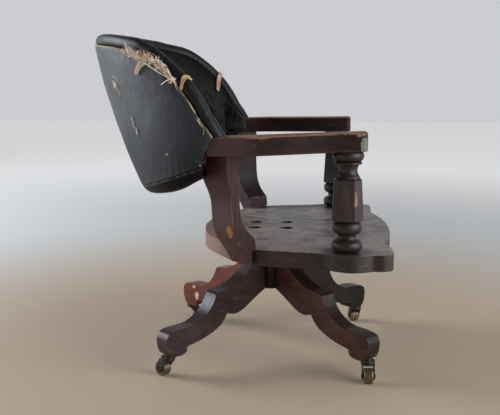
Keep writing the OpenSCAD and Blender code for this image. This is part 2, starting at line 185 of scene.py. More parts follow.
class Shade(Nodes):
    """A Principled material, with values for its sockets by name."""

    def __init__(self, name, **values):
        self.mat = bpy.data.materials.new(name)
        self.mat.use_nodes = True
        super().__init__(self.mat.node_tree)
        self.bsdf = self.tree.nodes["Principled BSDF"]
        for key, value in values.items():
            self.bsdf.inputs[key.replace("_", " ")].default_value = value

    def out(self, colour, rough=None, normal=None):
        self.put(self.bsdf.inputs["Base Color"], colour)
        if rough is not None:
            self.put(self.bsdf.inputs["Roughness"], rough)
        if normal is not None:
            self.put(self.bsdf.inputs["Normal"], normal)
        return self.mat


def wood(name, deep, mid, light, turn, worn, wear=0.5, dust_and_sheen=0.0, rough=(0.34, 0.6), grain=16.0, chips=(),
         seed=0.0, coat=0.05, high=0.0, fade=None, gloss=0.24, powder_and_sheen=(0.155, 0.142, 0.132), painted_shade_spots=(), crown=None):
    """Old stained and shellacked timber. turn brings the grain onto X; edges carry the attribute worn."""
    s = Shade(name, Coat_Weight=coat, Coat_Roughness=0.32, Specular_IOR_Level=gloss)
    along = s.co((1, 7, 7), turn, (seed, seed * 0.7, seed * 0.3))
    fine = s.co((1, 26, 26), turn, (seed, 0, 0))
    flat = s.co(move=(seed, 0, seed))
    streak = s.noise(along, grain, 6, 0.6, 0.9)
    pores = s.noise(fine, grain * 3.2, 3, 0.6)
    cloud = s.noise(flat, 6.5, 4, 0.6, 0.4)
    blend = s.add(s.mul(streak, 0.55), s.mul(cloud, 0.45))
    colour = s.ramp(blend, (0.33, deep), (0.5, mid), (0.68, light))
    colour = s.mix(s.span(pores, 0.52, 0.68, 0.0, 0.55), colour, times(deep, 0.3))
    # scuffs: dull pale strokes along the grain
    scuff = s.noise(s.co((2.0, 9, 9), turn, (seed + 3, 1, 2)), 9, 5, 0.7)
    colour = s.mix(s.span(scuff, 0.6, 0.74, 0.0, 0.32), colour, times(light, 0.5, 0.10))
    # partly real dust and partly a painted sheen: a pale powder on the faces that look up
    if dust_and_sheen:
        top = s.span(s.up(), 0.55, 0.98)
        rubbed = s.mul(cloud, 0.5)
        rubbed = s.add(rubbed, s.mul(s.noise(s.co((1.8, 5, 5), turn, (seed, 0, 0)), 14, 7, 0.78), 0.5))
        dust_and_sheen_mask = s.mul(top, s.span(rubbed, 0.41, 0.57, dust_and_sheen * 0.22, dust_and_sheen))
        dust_and_sheen_mask = s.mul(dust_and_sheen_mask, s.span(s.noise(flat, 110, 5, 0.8), 0.36, 0.62, 0.72, 1.06))
        for centre, size in painted_shade_spots:      # painted shade: less powder, so darker, at the spots given, under the tub's rear and beside the posts
            dust_and_sheen_mask = s.mul(dust_and_sheen_mask, s.span(s.spot(centre, size), 0.75, 1.3, 0.12, 1.0))
        colour = s.mix(dust_and_sheen_mask, colour, powder_and_sheen)
    if crown:       # painted light and shade: another tone on the faces that look up, or along the direction given
        way, tone = crown
        face = s.vector("DOT_PRODUCT", s.normal(), way).outputs["Value"]
        colour = s.mix(s.span(s.math("MAXIMUM", face, s.up()), 0.25, 0.55, 0.0, 0.72), colour, tone)
    edge = s.attr("worn")
    if high:        # most wear on the arrises that face up
        edge = s.mul(edge, s.span(s.up(), -0.2, 0.45, 1 - high, 1.0))
    chipped = s.noise(flat, 42, 5, 0.65)
    broad = s.noise(flat, 7, 3, 0.5)
    ease = 0.35 * wear
    amount = s.mul(edge, s.span(s.add(chipped, s.mul(broad, 1.1)), 1.20 - ease, 1.42 - ease))
    if fade:        # a painted highlight: a broad lighter patch where the timber is lit
        centre, size, tint = fade
        d = s.add(s.spot(centre, size), s.mul(s.sub(cloud, 0.5), 1.2))
        colour = s.mix(s.span(d, 1.15, 0.55, 0.0, 0.85), colour, s.mix(streak, tint, times(tint, 0.6)))
    colour = s.mix(amount, colour, worn)
    height = s.add(s.mul(streak, 0.5), s.mul(pores, 0.35))
    for centre, size, tint in chips:
        d = s.add(s.spot(centre, size), s.mul(s.sub(chipped, 0.5), 1.6))
        hit = s.span(d, 1.05, 0.9)
        colour = s.mix(hit, colour, s.mix(s.noise(flat, 160, 3), tint, times(tint, 0.62)))
        height = s.sub(height, s.mul(hit, 0.8))
    rough_out = s.span(s.add(cloud, s.mul(amount, 0.4)), 0.3, 0.8, *rough)
    n = s.bump(height, 0.45, 0.0012)
    n = s.bump(s.noise(flat, 11, 3), 0.5, 0.006, n)
    return s.out(colour, rough_out, n)


# ---- mesh helpers
def new_object(name, mesh, mat, body):
    ob = place(name, mesh)
    mesh.materials.append(mat)
    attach(ob, body)
    return ob


def set_attr(mesh, name, values):
    a = mesh.attributes.new(name, "FLOAT", "POINT")
    a.data.foreach_set("value", np.asarray(values, np.float32).ravel())


def smooth(mesh, angle=180):
    mesh.polygons.foreach_set("use_smooth", [True] * len(mesh.polygons))
    if angle < 180:
        mesh.set_sharp_from_angle(angle=math.radians(angle))
    mesh.update()


CREST_Y, CREST_SWELL = 0.085, 0.0095        # where the rear brackets begin to swell back, and how far
SHARP, SCREW_EDGE = math.radians(27), 0.0006


def timber(node, mat, width, segments=3, metal=False):
    """A copy of a CAD node with its arrises rounded over. Faces of the rounding carry worn = 1."""
    name = node + ("_metal" if metal else "_wood")
    bm = bmesh.new()
    bm.from_mesh(NODES[node].data)
    bmesh.ops.remove_doubles(bm, verts=bm.verts, dist=2e-6)
    for v in bm.verts if "bracket" in node else ():     # the crest swells back under the tub's front edge
        if v.co.y > CREST_Y:
            rise = float(smoothstep(v.co.z, 0.375, 0.432))
            v.co.y += CREST_SWELL * rise * float(smoothstep(v.co.y, CREST_Y, 0.106))
    bmesh.ops.dissolve_limit(bm, angle_limit=math.radians(0.6), verts=bm.verts, edges=bm.edges)
    layer = bm.faces.layers.float.new("worn")
    sharp = [e for e in bm.edges if len(e.link_faces) == 2 and e.calc_face_angle(0) > SHARP
             and (metal or e.calc_length() > SCREW_EDGE)]       # the shortest edges are round screw holes
    made = bmesh.ops.bevel(bm, geom=sharp, offset=width, segments=segments, profile=0.5, affect="EDGES",
                           clamp_overlap=True, offset_type="OFFSET")
    for f in made["faces"]:
        f[layer] = 1.0
    bmesh.ops.recalc_face_normals(bm, faces=bm.faces)
    mesh = bpy.data.meshes.new(name)
    bm.to_mesh(mesh)
    bm.free()
    smooth(mesh, 38)
    ob = new_object(name, mesh, mat, NODES[node]["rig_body"])
    w = ob.modifiers.new("normals", "WEIGHTED_NORMAL")
    w.keep_sharp = True
    w.weight = 60
    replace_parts(ob, node)
    return ob


def grid_faces(n, m, base=0):
    """Faces between n rings of m points each, the first point being number base."""
    rows = [[base + i * m + j % m for j in range(m + 1)] for i in range(n)]
    return [(one[j], one[j + 1], two[j + 1], two[j]) for one, two in zip(rows, rows[1:]) for j in range(m)]


def outward(mesh, weld=0.0):
    """Turns every face outwards, after joining points closer than weld."""
    bm = bmesh.new()
    bm.from_mesh(mesh)
    if weld:
        bmesh.ops.remove_doubles(bm, verts=bm.verts, dist=weld)
    bmesh.ops.recalc_face_normals(bm, faces=bm.faces)
    bm.to_mesh(mesh)
    bm.free()


def end_caps(n, m, base=0):
    return [tuple(base + j for j in range(m - 1, -1, -1)), tuple(base + (n - 1) * m + j for j in range(m))]


def loft(name, rings, mat, attrs, sharp=180):
    """Closed skin through rings of points, an array of n rings by m points by 3."""
    n, m = rings.shape[:2]
    mesh = bpy.data.meshes.new(name)
    mesh.from_pydata(rings.reshape(-1, 3).tolist(), [], grid_faces(n, m) + end_caps(n, m))
    for key, values in attrs.items():
        set_attr(mesh, key, values)
    outward(mesh)
    smooth(mesh, sharp)
    return new_object(name, mesh, mat, "seat")


SKEW = np.array([0.31, 0.83, 0.46])       # a direction that no strand runs along


def tubes(name, paths, mat, tones, sides=4):
    """One mesh of tapered strands. Each path is (points, radius at the root, radius at the tip), and has a tone."""
    verts, faces, tone = [], [], []
    for k, (pts, r0, r1) in enumerate(paths):
        pts = np.asarray(pts, float)
        n = len(pts)
        tan = np.gradient(pts, axis=0)
        tan /= np.linalg.norm(tan, axis=1)[:, None] + 1e-12
        u = np.cross(tan, SKEW)
        u /= np.linalg.norm(u, axis=1)[:, None] + 1e-12
        v = np.cross(tan, u)
        rad = r0 + (r1 - r0) * np.linspace(0, 1, n) ** 1.5
        base = len(verts)
        for i in range(n):
            for j in range(sides):
                t = 2 * math.pi * j / sides
                verts.append(pts[i] + rad[i] * (math.cos(t) * u[i] + math.sin(t) * v[i]))
                tone.append(tones[k])
        faces += grid_faces(n, sides, base) + end_caps(n, sides, base)
    mesh = bpy.data.meshes.new(name)
    mesh.from_pydata([tuple(p) for p in verts], [], faces)
    set_attr(mesh, "tone", tone)
    smooth(mesh)
    return new_object(name, mesh, mat, "seat")


def vnoise(p, scale, seed=0.0, octaves=3):
    """Noise in -1..1 at an array of points."""
    flat = np.asarray(p, float).reshape(-1, 3) * scale + seed
    out = np.zeros(len(flat))
    for k, q in enumerate(flat):
        v, amp = 0.0, 1.0
        for o in range(octaves):
            v += amp * noise.noise(Vector(q) * 2 ** o)
            amp *= 0.5
        out[k] = v
    return out.reshape(np.asarray(p).shape[:-1])


def smoothstep(x, lo, hi):
    t = np.clip((np.asarray(x, float) - lo) / (hi - lo), 0, 1)
    return t * t * (3 - 2 * t)


def bell(x, centre, width):
    return np.exp(-((x - centre) / width) ** 2)


def inflate(ob, pins, pressure, cap, frames):
    """Swells a piece with a cloth simulation. pins holds it, one weight a point, and none moves more than cap."""
    start = np.array([v.co[:] for v in ob.data.vertices])
    group = ob.vertex_groups.new(name="pins")
    for k, w in enumerate(np.asarray(pins).ravel()):
        if w > 0.01:
            group.add([k], float(min(w, 1.0)), "REPLACE")
    m = ob.modifiers.new("cloth", "CLOTH")
    c = m.settings
    c.quality = 5
    c.mass = 0.3
    c.tension_stiffness = c.compression_stiffness = 15
    c.shear_stiffness = 5
    c.bending_stiffness = 0.6
    c.vertex_group_mass = "pins"
    c.use_pressure = True
    c.uniform_pressure_force = pressure
    c.effector_weights.gravity = 0
    m.collision_settings.use_collision = False
    scene = bpy.context.scene
    for f in range(1, frames + 1):
        scene.frame_set(f)
    done = ob.evaluated_get(bpy.context.evaluated_depsgraph_get())
    moved = np.array([v.co[:] for v in done.data.vertices]) - start
    ob.modifiers.remove(m)
    scene.frame_set(1)
    far = np.linalg.norm(moved, axis=1)
    moved *= (np.minimum(far, cap) / np.maximum(far, 1e-9))[:, None]
    ob.data.vertices.foreach_set("co", (start + moved).ravel())
    ob.data.update()


def subdivide(ob):
    m = ob.modifiers.new("smooth", "SUBSURF")
    m.levels = m.render_levels = 1


# ---- the tub's shape, as in the CAD
HALF_W, BACK_Y, TOP, LOW = 0.350, 0.108, 0.694, 0.366
ROLL_R, ROLL_C, DROP, POWER = 0.013, 0.014, 0.144, 5
ARM_UNDER, ARM_T, ARM_RISE, POST_Y = 0.474, 0.0355, math.radians(1.25), -0.153


def depth(z):
    return 0.217 + 0.382 * (z - 0.5) - 0.61 * (z - 0.5) ** 2


def tub(a, off, z):
    """Point at angle a in degrees from the rear, off inside the outer face, at height z."""
    a, off, z = np.broadcast_arrays(np.radians(np.asarray(a, float)), np.asarray(off, float), np.asarray(z, float))
    return np.stack([(HALF_W - off) * np.sin(a), BACK_Y + (depth(z) - off) * np.cos(a), z], -1)


def roll_z(a):
    return TOP - ROLL_R - DROP * (np.abs(a) / 90) ** POWER


def roll_v(a):
    r = np.radians(a)
    slope = DROP * POWER / 90 * (np.abs(a) / 90) ** (POWER - 1) / (
        math.pi / 180 * np.hypot(HALF_W * np.cos(r), depth(roll_z(a)) * np.sin(r)))
    return ROLL_R * np.sqrt(1 + slope ** 2)


def low_z(a):
    return LOW + 0.064 * (np.abs(a) / 90) ** 1.6


def fold_r(a):
    return 0.016 + 0.007 * (np.abs(a) / 90) ** 2


def seam_z(a):
    """The seam under the roll: high at the rear, lower round the sides."""
    ab = np.abs(a)
    return roll_z(a) - (0.30 + 0.53 * smoothstep(ab, 5, 45) - 0.24 * bell(ab, 73, 6.5)) * roll_v(a)


def flare(z):
    """The ends of the roll and cover lean forward over the arms."""
    return 1 + 0.027 * np.minimum(np.clip((z - 0.476) / 0.027, 0, 1), np.clip((0.542 - z) / 0.038, 0, 1))


def tuck(z):
    """Below the arms the front edges are drawn back behind the brackets."""
    return 1 - 0.0135 * (1 - smoothstep(z, 0.464, 0.480))


# ---- materials
ALONG_Y = (0, 0, math.radians(90))
UPRIGHT = (0, math.radians(90), 0)

m_seat = wood("seat_wood", (0.010, 0.006, 0.005), (0.030, 0.017, 0.012), (0.066, 0.042, 0.030), ALONG_Y,
              (0.27, 0.19, 0.13), wear=0.95, dust_and_sheen=0.95, rough=(0.38, 0.62), seed=1.3, high=0.35, gloss=0.36,
              powder_and_sheen=(0.36, 0.315, 0.29),
              # painted highlight: the lit rear rim of the seat
              fade=((-0.16, 0.16, 0.268), (0.20, 0.085, 0.05), (0.30, 0.145, 0.105)),
              # painted shade: darker under the tub's rear and beside the posts
              painted_shade_spots=(((0.0, 0.20, 0.283), (0.34, 0.13, 0.05)), ((-0.28, -0.153, 0.283), (0.045, 0.045, 0.05)),
                     ((0.28, -0.153, 0.283), (0.045, 0.045, 0.05)), ((0.30, 0.02, 0.283), (0.07, 0.16, 0.05))))
m_arm = wood("arm_wood", (0.009, 0.006, 0.005), (0.020, 0.011, 0.009), (0.043, 0.020, 0.014), ALONG_Y,
             (0.27, 0.112, 0.055), wear=1.15, dust_and_sheen=0.22, rough=(0.32, 0.52), seed=2.1, high=0.85, gloss=0.10,
             powder_and_sheen=(0.23, 0.145, 0.105),
             chips=(((-0.316, -0.176, 0.506), (0.016, 0.018, 0.006), (0.34, 0.15, 0.07)),
                    ((-0.345, 0.02, 0.505), (0.012, 0.030, 0.0045), (0.30, 0.115, 0.06)),
                    # the third mark, pale grey on the front corner, is a painted highlight
                    ((-0.3035, -0.1815, 0.4865), (0.0110, 0.0085, 0.0160), (0.19, 0.188, 0.186))),
             # painted highlight: the lit rear facet of the arm
             fade=((-0.350, 0.072, 0.482), (0.030, 0.058, 0.034), (0.105, 0.060, 0.060)))
m_post = wood("post_wood", (0.008, 0.005, 0.005), (0.022, 0.011, 0.010), (0.058, 0.027, 0.021), UPRIGHT,
              (0.17, 0.085, 0.045), wear=0.65, rough=(0.38, 0.58), seed=3.7, gloss=0.36,
              chips=(((-0.303, -0.1635, 0.384), (0.005, 0.0055, 0.024), (0.34, 0.13, 0.045)),))
# painted shade: the far bracket is a darker copy of the bracket timber
m_far_bracket = wood("bracket_wood_dark", (0.006, 0.0045, 0.004), (0.017, 0.010, 0.009), (0.040, 0.021, 0.018),
                     UPRIGHT, (0.12, 0.07, 0.05), wear=0.4, rough=(0.42, 0.62), seed=10.3, gloss=0.16)
m_bracket = wood("bracket_wood", (0.012, 0.006, 0.006), (0.034, 0.014, 0.013), (0.070, 0.029, 0.025), UPRIGHT,
                 (0.15, 0.085, 0.055), wear=0.5, rough=(0.40, 0.60), seed=4.9, gloss=0.16,
                 # painted light: the face turned to the rear is redder and lighter, as lit
                 crown=((0, 1, 0), (0.088, 0.040, 0.039)),
                 chips=(((-0.308, 0.070, 0.325), (0.009, 0.009, 0.012), (0.36, 0.145, 0.03)),
                        ((-0.307, 0.072, 0.3135), (0.008, 0.008, 0.0035), (0.80, 0.62, 0.42))))

LEG_GRAIN = math.radians(-28)


def leg_wood(name, deg, deep, mid, light, worn=(0.17, 0.075, 0.045), **more):
    """Timber with the grain along a leg that points deg degrees round from +X, and slopes down."""
    grain = (0, LEG_GRAIN, math.radians(-deg))
    return wood(name, deep, mid, light, grain, worn, wear=0.45, rough=(0.32, 0.52), **more)


# painted light and shade: the four legs are one timber, each in its own tone, redder and lighter where lit, near
# black where shaded
m_leg = {
    "leg_rear_right": leg_wood(
        "leg_dark_plum", 135, (0.014, 0.008, 0.009), (0.036, 0.018, 0.018), (0.066, 0.034, 0.033), seed=5.1),
    "leg_front_right": leg_wood(
        "leg_red_brown", -135, (0.018, 0.007, 0.006), (0.062, 0.021, 0.015), (0.12, 0.042, 0.028), seed=6.3,
        # painted shade: near black on its tops and on the faces turned along the direction given
        crown=((-0.707, -0.707, 0), (0.0050, 0.0055, 0.0060)), gloss=0.22),
    "leg_rear_left": leg_wood(
        "leg_bright_red", 45, (0.050, 0.011, 0.005), (0.155, 0.030, 0.012), (0.24, 0.055, 0.022), seed=7.7,
        worn=(0.30, 0.13, 0.07), chips=(((0.166, 0.202, 0.094), (0.012, 0.009, 0.009), (0.62, 0.44, 0.27)),
                                        ((0.169, 0.187, 0.072), (0.010, 0.007, 0.013), (0.70, 0.52, 0.34)))),
    "leg_front_left": leg_wood(
        "leg_near_black", -45, (0.006, 0.0045, 0.0045), (0.012, 0.008, 0.0075), (0.026, 0.017, 0.015), seed=8.9,
        gloss=0.15),
}
# painted shade: the hub under the seat is near black
m_hub = wood("hub_wood", (0.006, 0.004, 0.004), (0.014, 0.007, 0.006), (0.030, 0.014, 0.010), UPRIGHT,
             (0.06, 0.03, 0.02), wear=0.2, rough=(0.5, 0.7), seed=9.4, coat=0.0)


def metal(name, base, light, metallic, rough, tarnish, seed=0.0):
    s = Shade(name, Metallic=metallic)
    c = s.co(move=(seed, seed, 0))
    big, small = s.noise(c, 26, 5, 0.6), s.noise(c, 190, 4, 0.6)
    v = s.add(s.mul(big, 0.6), s.mul(small, 0.4))
    colour = s.ramp(v, (0.36, tarnish), (0.5, base), (0.66, light))
    edge = s.mul(s.attr("worn"), s.span(small, 0.4, 0.6, 0.1, 0.8))
    colour = s.mix(edge, colour, tuple(min(1, c * 1.7 + 0.03) for c in light))
    return s.out(colour, s.span(v, 0.35, 0.65, rough[1], rough[0]), s.bump(small, 0.25, 0.0006))


m_iron = metal("dark_iron", (0.045, 0.041, 0.038), (0.085, 0.078, 0.070), 0.75, (0.38, 0.62), (0.040, 0.022, 0.014))
m_wheel = metal("aged_brass", (0.145, 0.115, 0.066), (0.27, 0.215, 0.13), 0.8, (0.30, 0.5), (0.10, 0.08, 0.055), 2.0)
m_socket = metal("dull_brass", (0.10, 0.078, 0.048), (0.17, 0.135, 0.08), 0.8, (0.36, 0.56), (0.05, 0.04, 0.03), 4.0)

# ---- timber pieces
for node, mat, width in (("seat_board", m_seat, 0.0030), ("arm_left", m_arm, 0.0062), ("arm_right", m_arm, 0.0062),
                         ("post_left", m_post, 0.0011), ("post_right", m_post, 0.0011),
                         ("bracket_left", m_far_bracket, 0.0024), ("bracket_right", m_bracket, 0.0024)):
    timber(node, mat, width)
for node, mat in m_leg.items():
    timber(node, mat, 0.0055, 4)
timber("hub_block", m_hub, 0.0015)
for node in NODES:
    if node.startswith("caster_fork") or node in ("height_nut", "hub_bush", "seat_plate"):
        timber(node, m_iron, 0.0005, 2, metal=True)
    if node.startswith("caster_wheel"):
        timber(node, m_wheel, 0.0006, 2, metal=True)

for node, ob in NODES.items():
    if ob.hide_render:
        continue
    ob.data.materials.clear()
    if node == "cover_tacks":       # covered in the leathercloth, below
        continue
    if node in ("caster_sockets", "spindle_washer"):
        ob.data.materials.append(m_socket)
    elif node == "back_front_stiles":
        ob.data.materials.append(m_bracket)
    elif node in ("back_lower_rail", "back_upper_rail", "back_stiles", "leg_dowels"):
        pale = wood(node + "_pale", (0.16, 0.10, 0.055), (0.26, 0.175, 0.10), (0.36, 0.26, 0.16), ALONG_Y,
                    (0.3, 0.2, 0.12), wear=0.1, rough=(0.6, 0.8), seed=9.0, coat=0.0)
        ob.data.materials.append(pale)
    else:
        ob.data.materials.append(m_iron)


# ---- leathercloth
def leathercloth(name, deep, mid, light, sheen=(0.30, 0.46), streaks=1.0, tears=(), seed=0.0, gloss=0.28, coat=0.03):
    """Old coated cloth: a fine crackle, upright scuffs, and tan backing where it has worn through."""
    s = Shade(name, Coat_Weight=coat, Coat_Roughness=0.4, Specular_IOR_Level=gloss)
    flat = s.co(move=(seed, 0, 0))
    tall = s.co((1, 1, 0.13), (0, 0, 0), (seed, 0, 0))
    cloud = s.noise(flat, 5.5, 5, 0.6, 0.6)
    rub = s.noise(tall, 60, 5, 0.62)
    grain = s.node("TexVoronoi", {"Vector": flat, "Scale": 520.0}, feature="DISTANCE_TO_EDGE").outputs["Distance"]
    stirred = s.vector("ADD", flat, s.node("TexNoise", {"Vector": flat, "Scale": 30.0}).outputs["Color"]).outputs[0]
    crack = s.node("TexVoronoi", {"Vector": stirred, "Scale": 38.0}, feature="DISTANCE_TO_EDGE").outputs["Distance"]
    v = s.add(s.mul(cloud, 0.6), s.mul(rub, 0.4 * streaks))
    colour = s.ramp(v, (0.32, deep), (0.5, mid), (0.7, light))
    scratch = s.noise(s.co((1, 1, 0.05), (0, 0, 0), (seed + 2, 0, 0)), 210, 3, 0.7)
    colour = s.mix(s.mul(s.span(scratch, 0.62, 0.78, 0.0, 0.45), s.span(cloud, 0.4, 0.6)), colour,
                   times(light, 0.6, 0.06))
    fleck = s.noise(flat, 130, 3, 0.8)
    colour = s.mix(s.span(fleck, 0.72, 0.8, 0, 0.4), colour, (0.16, 0.15, 0.14))
    worn = s.mul(s.attr("worn"), s.span(s.noise(flat, 75, 4, 0.7), 0.35, 0.62))
    colour = s.mix(worn, colour, (0.135, 0.120, 0.105))
    if tears:       # painted shade: darker towards the bottom rail
        low = s.spot((0, 0, 0.36), (9, 9, 0.15))
        colour = s.mix(s.span(low, 1.3, 0.5, 0.0, 0.9), colour, times(deep, 0.7))
    tan = s.mix(s.noise(s.co((1, 1, 0.3), (0, 0, 0), (0, seed, 0)), 150, 4), (0.50, 0.36, 0.20), (0.26, 0.17, 0.09))
    bare = s.mul(s.attr("bare"), s.span(s.noise(flat, 95, 4, 0.7), 0.28, 0.5), clamp=True)
    height = s.add(s.mul(s.span(grain, 0.0, 0.0006), 0.25), s.mul(rub, 0.5))
    height = s.add(height, s.span(crack, 0.0, 0.03, 0.0, 0.35))
    ragged = s.mul(s.sub(s.noise(flat, 120, 4, 0.75), 0.5), 1.9)
    for centre, size in tears:
        d = s.add(s.spot(centre, size), ragged)
        bare = s.math("MAXIMUM", bare, s.span(d, 1.0, 0.8))
        rim = s.mul(s.span(d, 1.7, 1.0), s.sub(1.0, s.span(d, 1.0, 0.8)))
        colour = s.mix(s.mul(rim, 0.6), colour, (0.008, 0.008, 0.009))
        height = s.sub(height, s.mul(s.span(d, 1.0, 0.8), 1.4))
    colour = s.mix(bare, colour, tan)
    rough = s.span(s.add(v, s.mul(bare, 0.6)), 0.3, 0.8, *sheen)
    if tears:
        rough = s.add(rough, s.span(low, 1.3, 0.5, 0.0, 0.22))
    n = s.bump(height, 0.35, 0.0008)
    n = s.bump(s.noise(flat, 14, 4, 0.6), 0.35, 0.006, n)
    return s.out(colour, rough, n)


def at(a, z, off=0.0):
    return tub(a, off, z).tolist()


TEARS = [(at(-41.4, 0.598), (0.0088, 0.0088, 0.0062)), (at(-43.8, 0.583), (0.0022, 0.0022, 0.0095)),
         (at(-50.6, 0.527), (0.0018, 0.0018, 0.009)), (at(-51.8, 0.510), (0.0022, 0.0022, 0.0060)),
         (at(-69.2, 0.471), (0.0044, 0.0030, 0.0022)), (at(-86.0, 0.462), (0.0016, 0.0016, 0.0016)),
         (at(-87.6, 0.452), (0.0018, 0.0018, 0.0022))]
m_cover = leathercloth("leathercloth_cover", (0.012, 0.013, 0.016), (0.024, 0.0255, 0.031), (0.050, 0.053, 0.063),
                       (0.40, 0.56), 1.0, TEARS)
m_roll = leathercloth("leathercloth_roll", (0.006, 0.006, 0.0062), (0.013, 0.0124, 0.012), (0.032, 0.030, 0.029),
                      (0.42, 0.60), 0.3, (), 3.0, 0.22, 0.0)
# painted shade: the inside of the tub is a much darker copy of the leathercloth
m_inner = leathercloth("leathercloth_inner", (0.0030, 0.0028, 0.0025), (0.0058, 0.0052, 0.0046),
                       (0.015, 0.013, 0.011), (0.55, 0.75), 0.3, (), 5.0, 0.10, 0.0)
# painted shade: the cloth under the tub is a darker copy of the leathercloth
m_under = leathercloth("leathercloth_under", (0.004, 0.0037, 0.0035), (0.008, 0.0068, 0.0066), (0.017, 0.014, 0.013),
                       (0.50, 0.70), 0.3, (), 7.0, 0.10, 0.0)


def fibre_mat(name, dark, mid, pale):
    s = Shade(name, Roughness=0.85)
    t = s.add(s.mul(s.attr("tone"), 0.75), s.mul(s.noise(s.co(), 240, 3), 0.3))
    return s.out(s.ramp(t, (0.15, dark), (0.5, mid), (0.85, pale)))


m_hair = fibre_mat("horsehair", (0.20, 0.11, 0.055), (0.92, 0.68, 0.45), (1.0, 0.94, 0.82))
m_strap = fibre_mat("torn_strap", (0.34, 0.20, 0.12), (0.58, 0.40, 0.28), (0.76, 0.58, 0.45))
m_tan = fibre_mat("tan_lining", (0.22, 0.12, 0.055), (0.50, 0.33, 0.17), (0.66, 0.49, 0.29))
m_hessian = fibre_mat("hessian", (0.22, 0.16, 0.09), (0.38, 0.29, 0.17), (0.5, 0.4, 0.26))
NODES["cover_tacks"].data.materials.append(m_cover)
NODES["back_hessian"].data.materials.clear()
NODES["back_hessian"].data.materials.append(m_hessian)


# ---- outside cover
def build_cover():
    na, nz = 330, 96
    u = np.linspace(-1, 1, na)[:, None]
    t = np.linspace(0, 1, nz)[None, :]
    a = 89.7 * u
    z0, z1 = low_z(a) + fold_r(a), seam_z(a * 1.0145) + 0.0005
    z = z0 + (z1 - z0) * t
    aa = a * (1 + 0.0145 * np.clip((z - 0.476) / 0.027, 0, 1)) * flare(z) * tuck(z)
    base = tub(aa, 0, z)
    out = 1.3e-3 * vnoise(base, 6.0, 1.0, 3) + 0.35e-3 * vnoise(base, 34.0, 5.0, 3)
    # stretched between the rails, and drawn to the tacks along the top
    out -= 1.6e-3 * np.sin(math.pi * np.clip((t - 0.12) / 0.74, 0, 1)) * (0.6 + 0.4 * np.cos(np.radians(a) * 6))
    arc = np.radians(a) * 0.30
    pull = np.sin(2 * math.pi * arc / 0.021 + 2.2 * vnoise(base, 9.0, 9.0, 1))
    out += 0.5e-3 * pull * np.exp(-((z1 - z) / 0.020)) + 0.4e-3 * pull * np.exp(-((z - z0) / 0.022))
    # slack folds beside the front tacks
    front = np.exp(-((89.7 - np.abs(a)) / 5.0))
    out += front * (1.4e-3 * np.sin(z * 260 + 3 * vnoise(base, 16.0, 2.0, 2)) + 0.8e-3)
    edge = np.minimum(np.minimum(t, 1 - t) * 30, 1) * np.minimum((1 - np.abs(u)) * 60 + 0.02, 1)
    out = out * np.clip(edge, 0, 1) + 0.0002
    # lips of the tears stand up a little
    for centre, size in TEARS[:4]:
        d = np.linalg.norm((base - np.array(centre)) / (np.array(size) * 1.5), axis=-1)
        out += 1.3e-3 * np.exp(-((d - 1) ** 2) * 6)
    face = tub(aa, -out, z)
    back = tub(aa, 0.0024, z)
    rings = np.concatenate([face, back[:, ::-1]], axis=1)
    bare = np.zeros((na, nz * 2))
    worn = np.zeros((na, nz * 2))
    top = np.exp(-((z1 - z) / 0.0022)) * (0.35 + 0.65 * smoothstep(vnoise(base, 14.0, 4.0, 2), -0.35, 0.15))
    bare[:, :nz] = top * np.ones_like(z)
    side = np.exp(-((1 - np.abs(u)) / 0.012)) * smoothstep(z, 0.445, 0.50) * (1 - smoothstep(z, 0.50, 0.53))
    worn[:, :nz] = np.clip(side * 1.5 + 0.5 * np.exp(-((z - z0) / 0.004)), 0, 1)
    return loft("outside_cover", rings, m_cover, attrs={"bare": bare, "worn": worn}, sharp=50)


cover = build_cover()
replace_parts(cover, "outer_cover")


# ---- roll along the rim
def shoulder(a):
    return 0.0050 * bell(np.abs(a), 63, 8) + 0.0055 * bell(a, 34, 18)


def roll_point(a, t, lift=0.0):
    """Point on the roll at angle a, t degrees round its section: 0 inside, 90 on top, 180 outside."""
    tr = np.radians(t)
    r = ROLL_R + lift
    z = roll_z(a) + shoulder(a) + roll_v(a) * (r / ROLL_R) * np.sin(tr)
    return tub(a * flare(z), ROLL_C + r * np.cos(tr), z)


